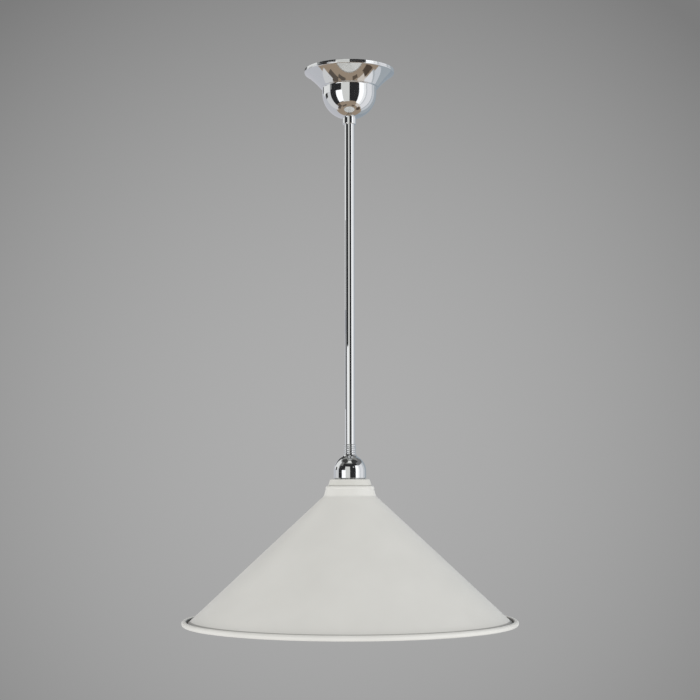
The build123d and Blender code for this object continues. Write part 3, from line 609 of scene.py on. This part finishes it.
# the floor is a matt disc that clears to nothing between its solid middle and its edge
floor = {"z": -2.6, "r": 9.0, "solidR": 2.0, "clearR": 8.55, "segments": 96, "colour": "#b9b8b5",
         "roughness": 0.9}
bm = bmesh.new()
bmesh.ops.create_circle(bm, cap_ends=True, segments=floor["segments"], radius=floor["r"])
bmesh.ops.translate(bm, verts=bm.verts, vec=(0, 0, floor["z"]))
floorMaterial = startMaterial("studioFloor", Base_Color=floor["colour"], Roughness=floor["roughness"])
tree = floorMaterial.node_tree
away = lengthWithin(tree, tree.nodes["place"].outputs["Object"], (1, 1, 0))
fade = addNode(
    tree, "ShaderNodeMapRange", {"interpolation_type": "SMOOTHSTEP"},
    {"Value": away, "From Min": floor["solidR"], "From Max": floor["clearR"]},
).outputs["Result"]
solid, clear = tree.nodes["Principled BSDF"], addNode(tree, "ShaderNodeBsdfTransparent")
mixed = addNode(tree, "ShaderNodeMixShader", {}, {"Fac": fade, 1: solid.outputs[0], 2: clear.outputs[0]})
tree.links.new(mixed.outputs[0], tree.nodes["Material Output"].inputs["Surface"])
studioFloor = stagePiece("studioFloor", bm, floorMaterial)
studioFloor.visible_glossy = studioFloor.visible_diffuse = False

# Reflection cards hang round the light on a large sphere, seen by mirror rays alone, each layer a step
# further out. Each card has its turn from the camera's side and its height in degrees, + to the right and
# up, and its colour. One has its own distance.
cardSphere = {"radius": 12.0, "layerStep": 0.4, "centre": (0, 0, -0.25), "rows": 12, "columns": 24,
              "merge": 1e-5}
cards = {
    "darkRoom": {"turn": (-150, 152), "height": (-46, 58), "colour": "#2e2e2f", "layer": 3},
    "backLeft": {"turn": (-180, -150), "height": (-46, 45), "colour": "#c6c6cb", "layer": 3},
    "backRight": {"turn": (152, 180), "height": (-46, 40), "colour": "#9aa3ab", "layer": 3},
    "leftHigh": {"turn": (-150, -60), "height": (30, 58), "colour": "#7d7d7b", "layer": 2},
    "rightHigh": {"turn": (62, 152), "height": (30, 52), "colour": "#747475", "layer": 2},
    "farLeftGrey": {"turn": (-150, -88), "height": (-46, 12), "colour": "#c6c7cb", "layer": 2},
    "leftBoard": {"turn": (-120, -88), "height": (-52, 5), "colour": "#d9d9d9", "layer": 1},
    "leftWindow": {"turn": (-140, -91), "height": (6, 46), "colour": "#efefed", "layer": 1},
    "windowFrame": {"turn": (-172, -140), "height": (15.4, 50), "colour": "#434341", "layer": 1},
    "windowPost": {"turn": (-91, -82), "height": (12, 44), "colour": "#8f8f8d", "layer": 1},
    "windowShadow": {"turn": (-122, -106), "height": (-1.2, 10.9), "colour": "#3a3936", "distance": 2.5},
    "leftGrey": {"turn": (-35, 1), "height": (-48, 29), "colour": "#dededa", "layer": 1},
    "leftWhite": {"turn": (-59, -31), "height": (-44, 4.5), "colour": "#ffffff", "layer": 0, "glow": 1.3},
    "smallPanel": {"turn": (23, 33), "height": (21, 30), "colour": "#b4b4b6", "layer": 0},
    "rightWhite": {"turn": (43, 64), "height": (-50, 34), "colour": "#ffffff", "layer": 0, "glow": 1.3},
    "rightSoft": {"turn": (64, 76), "height": (-50, 32), "colour": "#ffffff", "layer": 0, "glow": 0.98},
    "rightPost": {"turn": (76, 82), "height": (-50, 31), "colour": "#d2d4d6", "layer": 0},
    "rightPale": {"turn": (82, 112), "height": (-52, 31), "colour": "#ececee", "layer": 0},
    "farRightPost": {"turn": (112, 117), "height": (-52, 31), "colour": "#bbbfc2", "layer": 0},
    "farRightGrey": {"turn": (117, 131), "height": (-48, 29), "colour": "#d1d4d8", "layer": 0},
    "farRightDim": {"turn": (131, 152), "height": (-46, 26), "colour": "#a9b0b5", "layer": 0},
    "greyCeiling": {"turn": (-180, 180), "height": (50, 90), "colour": "#8c8c89", "layer": 1},
    "darkCeilingLeft": {"turn": (-125, -38), "height": (52, 76), "colour": "#434342", "layer": 0},
    "darkCeilingRight": {"turn": (26, 108), "height": (50, 78), "colour": "#3d3d3d", "layer": 0},
    "lampRow": {"turn": (-28, 22), "height": (59, 76), "colour": "#f0f0ec", "layer": 0},
    "warmGround": {"turn": (-180, 180), "height": (-90, -45.5), "colour": "#a08f7d", "layer": 2},
    "groundShade": {"turn": (-104, -64), "height": (-61, -47), "colour": "#5f564e", "layer": 1},
    "groundShadeFront": {"turn": (-66, -24), "height": (-67, -61), "colour": "#5f564e", "layer": 1},
    "groundPaleRight": {"turn": (50, 90), "height": (-62, -48), "colour": "#d8cfc5", "layer": 1},
    "groundDarkRight": {"turn": (84, 116), "height": (-67, -55), "colour": "#54483e", "layer": 0},
    "groundFeet": {"turn": (22, 52), "height": (-69.5, -64), "colour": "#62564a", "layer": 0},
}


def glowing(name, colour, strength):
    # a card's plain light, the same all over it
    material = bpy.data.materials.new(name)
    material.use_nodes = True
    tree = material.node_tree
    tree.nodes.remove(tree.nodes["Principled BSDF"])
    glow = addNode(tree, "ShaderNodeEmission", {}, {"Color": linear(colour), "Strength": strength})
    tree.links.new(glow.outputs[0], tree.nodes["Material Output"].inputs["Surface"])
    return material


def mirrorOnly(piece):
    # leaves a card to the mirror rays: it lights nothing and casts no shadow
    piece.visible_camera = piece.visible_diffuse = piece.visible_shadow = False
    piece.visible_transmission = piece.visible_volume_scatter = False


for name, card in cards.items():
    fromTurn, toTurn = [math.radians(angle) for angle in card["turn"]]
    fromHeight, toHeight = [math.radians(angle) for angle in card["height"]]
    radius = card.get("distance") or cardSphere["radius"] + card["layer"] * cardSphere["layerStep"]
    bm = bmesh.new()
    foot = bm.verts.new((0, -radius * math.cos(fromHeight), radius * math.sin(fromHeight)))
    bmesh.ops.spin(
        bm, geom=[foot], cent=(0, 0, 0), axis=(-1, 0, 0), angle=toHeight - fromHeight,
        steps=cardSphere["rows"], use_duplicate=False,
    )
    bmesh.ops.rotate(bm, verts=bm.verts, cent=(0, 0, 0), matrix=Matrix.Rotation(fromTurn, 3, "Z"))
    bmesh.ops.spin(
        bm, geom=bm.verts[:] + bm.edges[:], cent=(0, 0, 0), axis=(0, 0, 1), angle=toTurn - fromTurn,
        steps=cardSphere["columns"], use_duplicate=False,
    )
    bmesh.ops.remove_doubles(bm, verts=bm.verts, dist=cardSphere["merge"])
    bmesh.ops.translate(bm, verts=bm.verts, vec=cardSphere["centre"])
    mirrorOnly(stagePiece(name, bm, glowing(name, card["colour"], card.get("glow", 1.0))))

# World: the backdrop for the camera, mirrors and glass, and plain soft light for everything else.
# The backdrop glows round one direction, and the soft light goes by height, from straight below to straight
# above: brightest under the horizon, weakest from above.
backdrop = {"glow": "#adadad", "edge": "#7c7c7c", "glowX": -0.008, "glowZ": 0.027, "reach": 0.33}
softLight = {"byHeight": {0.0: 0.62, 0.18: 0.96, 0.5: 0.89, 0.82: 0.7, 1.0: 0.26}, "strength": 1.5}
world = bpy.data.worlds.new("studio")
world.use_nodes = True
scene.world = world
tree = world.node_tree
tree.nodes.clear()
towards = addNode(tree, "ShaderNodeTexCoord").outputs["Generated"]
centred = addNode(
    tree, "ShaderNodeVectorMath", {"operation": "SUBTRACT"},
    {0: towards, 1: (backdrop["glowX"], 0, backdrop["glowZ"])},
).outputs[0]
away = lengthWithin(tree, centred, (1, 0, 1))
squared = addNode(tree, "ShaderNodeMath", {"operation": "POWER"}, {0: away, 1: 2}).outputs["Value"]
fade = addNode(
    tree, "ShaderNodeMapRange", {}, {"Value": squared, "From Min": 0, "From Max": backdrop["reach"] ** 2}
).outputs["Result"]
behind = addNode(
    tree, "ShaderNodeMix", {"data_type": "RGBA"},
    {"Factor": fade, 6: linear(backdrop["glow"]), 7: linear(backdrop["edge"])},
).outputs[2]
upward = addNode(tree, "ShaderNodeSeparateXYZ", {}, {"Vector": towards}).outputs["Z"]
byHeight = addNode(
    tree, "ShaderNodeMapRange", {}, {"Value": upward, "From Min": -1, "From Max": 1}
).outputs["Result"]
softStops = {height: (value, value, value, 1) for height, value in softLight["byHeight"].items()}
softness = addNode(tree, "ShaderNodeValToRGB", {}, {"Fac": byHeight}, softStops).outputs["Color"]
rays = addNode(tree, "ShaderNodeLightPath").outputs
either = rays["Is Camera Ray"]
for other in (rays["Is Glossy Ray"], rays["Is Transmission Ray"]):
    either = addNode(tree, "ShaderNodeMath", {"operation": "MAXIMUM"}, {0: either, 1: other}).outputs["Value"]
lit = addNode(tree, "ShaderNodeBackground", {}, {"Color": softness, "Strength": softLight["strength"]})
shown = addNode(tree, "ShaderNodeBackground", {}, {"Color": behind, "Strength": 1.0})
mixed = addNode(tree, "ShaderNodeMixShader", {}, {"Fac": either, 1: lit.outputs[0], 2: shown.outputs[0]})
addNode(tree, "ShaderNodeOutputWorld", {}, {"Surface": mixed.outputs[0]})

# Lamps: large soft boxes at the sides, the cooler one on the right the stronger
lampAim = Vector((0, 0, -0.45))
lamps = {
    "rightBox": {"at": (2.4, -0.9, 0.1), "size": 1.6, "watts": 8.5, "colour": "#f3f7ff"},
    "leftBox": {"at": (-2.4, -0.9, 0.1), "size": 1.6, "watts": 1.2, "colour": "#fffaf0"},
}
for name, softBox in lamps.items():
    data = bpy.data.lights.new(name, "AREA")
    data.shape = "DISK"
    data.size = softBox["size"]
    data.energy = softBox["watts"]
    data.color = linear(softBox["colour"])[:3]
    box = bpy.data.objects.new(name, data)
    box.location = softBox["at"]
    box.rotation_euler = (lampAim - box.location).to_track_quat("-Z", "Y").to_euler()
    box.visible_glossy = False
    scene.collection.objects.link(box)
print("studio set")
